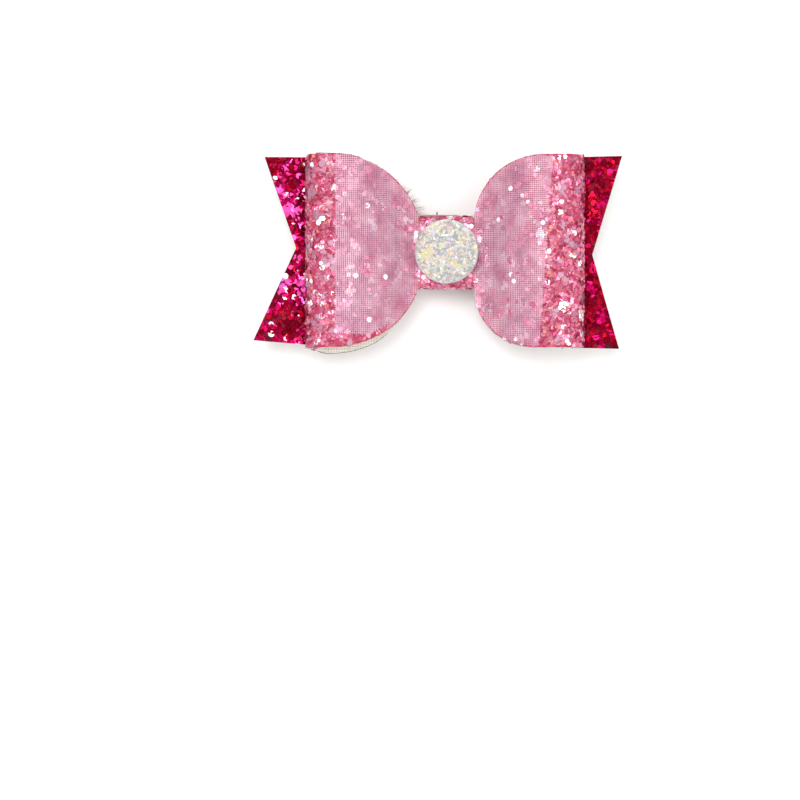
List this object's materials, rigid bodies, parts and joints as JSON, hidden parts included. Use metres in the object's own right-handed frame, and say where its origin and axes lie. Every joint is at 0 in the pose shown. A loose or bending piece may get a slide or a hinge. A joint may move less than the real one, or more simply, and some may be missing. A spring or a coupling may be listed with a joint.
{
  "type": "hair bow",
  "caption": "Glitter canvas hair bow with forked tails, two folded loops with a sheer facing, a wrapped neck with a round cabochon, and a sprung alligator clip behind.",
  "frame": {"origin": "on the table, under the middle of the whole bow's length and height", "axes": "+X along the bow towards the clip's jaws, +Y up the bow's height, +Z out of its face"},
  "size_m": [0.0694, 0.0366, 0.0163],
  "materials": {
    "glitter_magenta": "chunky magenta glitter in a clear binder on woven canvas",
    "glitter_pink": "chunky rose pink glitter in a clear binder on woven canvas",
    "canvas": "unbleached woven cotton canvas",
    "sheer_fabric": "sheer mauve woven organza",
    "thread": "dark spun polyester thread",
    "hot_glue": "set hot-melt glue",
    "cabochon_resin": "clear resin over iridescent foil flakes",
    "clip_steel": "nickel-plated pressed steel sheet",
    "pin_steel": "nickel-plated rivet wire",
    "spring_steel": "drawn spring steel wire"
  },
  "bodies": {
    "bow": {"tail_glitter": "glitter_magenta", "tail_backing": "canvas", "loop_glitter": "glitter_pink", "loop_backing": "canvas", "sheer_overlay": "sheer_fabric", "wrap_backing": "canvas", "wrap_glitter": "glitter_pink", "binding_thread": "thread", "loop_glue": "hot_glue", "tail_glue": "hot_glue", "clip_glue": "hot_glue", "wrap_seam_glue": "hot_glue", "cabochon_glue": "hot_glue", "cabochon": "cabochon_resin", "clip_upper_arm": "clip_steel", "clip_hinge_pin": "pin_steel", "clip_spring": "spring_steel"},
    "jaw": {"clip_lower_arm": "clip_steel"}
  },
  "joints": [
    {"name": "jaw_hinge", "type": "hinge", "parent": "bow", "child": "jaw", "pos_m": [-0.0066, 0, 0.00325], "axis": [0, 1, 0], "range_deg": [0, 20], "stiffness_Nm_per_rad": 0.004, "springref_deg": -17.19, "deforming": ["clip_spring"]}
  ]
}
